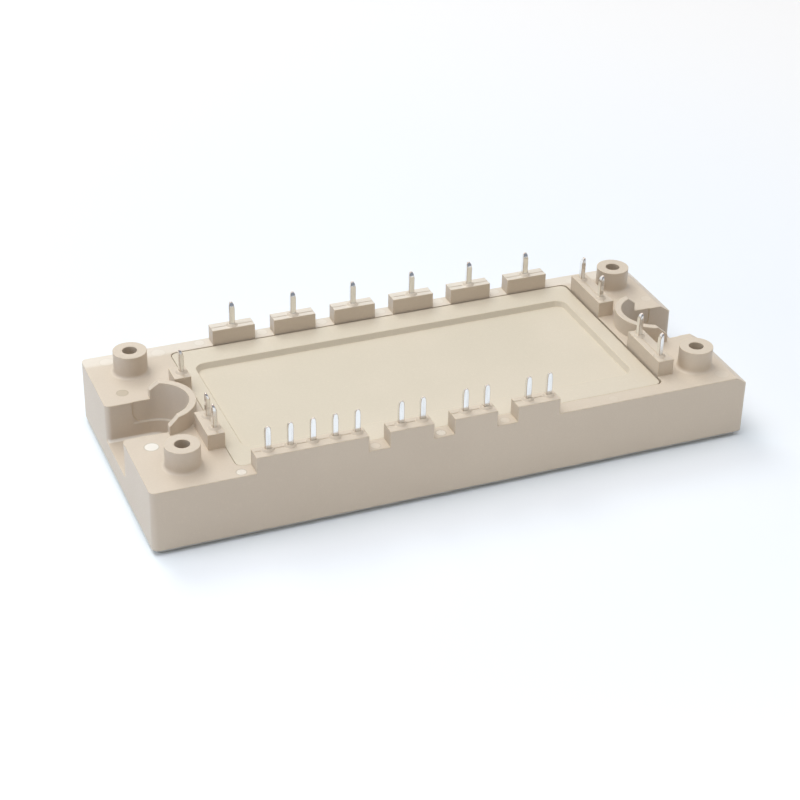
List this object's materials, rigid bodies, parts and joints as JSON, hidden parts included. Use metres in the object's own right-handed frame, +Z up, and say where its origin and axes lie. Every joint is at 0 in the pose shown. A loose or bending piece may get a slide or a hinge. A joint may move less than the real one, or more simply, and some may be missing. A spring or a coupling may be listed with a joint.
{
  "type": "pin-type IGBT power module",
  "caption": "Low rectangular power module: tan moulded frame with snap-in tray lid, edge rows of solder pins on raised blocks, corner screw posts and horseshoe mounting wells.",
  "frame": {"origin": "centre of the heat sink face, on the surface that the module rests on", "axes": "+X along the module, +Y across it towards the row of six single-pin blocks, +Z up towards the pins"},
  "size_m": [0.1076, 0.045, 0.0194],
  "materials": {
    "moulding": "fine matt moulded",
    "lid": "fine matt moulded",
    "plated_base": "satin nickel plating",
    "pin_metal": "satin tin plating",
    "adhesive": "satin",
    "ceramic": "matt",
    "copper": "satin copper",
    "silicon": "polished",
    "thermistor": "matt",
    "wire": "satin",
    "gel": "clear and soft"
  },
  "bodies": {
    "root": {"frame": "moulding", "lid": "lid", "baseplate": "plated_base", "adhesive_bead": "adhesive", "substrate_left": "ceramic", "substrate_right": "ceramic", "substrate_backing_left": "copper", "substrate_backing_right": "copper", "substrate_tracks_left": "copper", "substrate_tracks_right": "copper", "rectifier_diode_1": "silicon", "rectifier_diode_2": "silicon", "rectifier_diode_3": "silicon", "rectifier_diode_4": "silicon", "rectifier_diode_5": "silicon", "rectifier_diode_6": "silicon", "brake_transistor": "silicon", "brake_diode": "silicon", "inverter_transistor_1": "silicon", "inverter_transistor_2": "silicon", "inverter_transistor_3": "silicon", "inverter_transistor_4": "silicon", "inverter_transistor_5": "silicon", "inverter_transistor_6": "silicon", "freewheel_diode_1": "silicon", "freewheel_diode_2": "silicon", "freewheel_diode_3": "silicon", "freewheel_diode_4": "silicon", "freewheel_diode_5": "silicon", "freewheel_diode_6": "silicon", "thermistor": "thermistor", "bond_wires": "wire", "silicone_gel": "gel", "pin_01": "pin_metal", "pin_02": "pin_metal", "pin_03": "pin_metal", "pin_04": "pin_metal", "pin_05": "pin_metal", "pin_06": "pin_metal", "pin_07": "pin_metal", "pin_08": "pin_metal", "pin_09": "pin_metal", "pin_10": "pin_metal", "pin_11": "pin_metal", "pin_12": "pin_metal", "pin_13": "pin_metal", "pin_14": "pin_metal", "pin_15": "pin_metal", "pin_16": "pin_metal", "pin_17": "pin_metal", "pin_18": "pin_metal", "pin_19": "pin_metal", "pin_20": "pin_metal", "pin_21": "pin_metal", "pin_22": "pin_metal", "pin_23": "pin_metal", "pin_24": "pin_metal"}
  },
  "joints": []
}
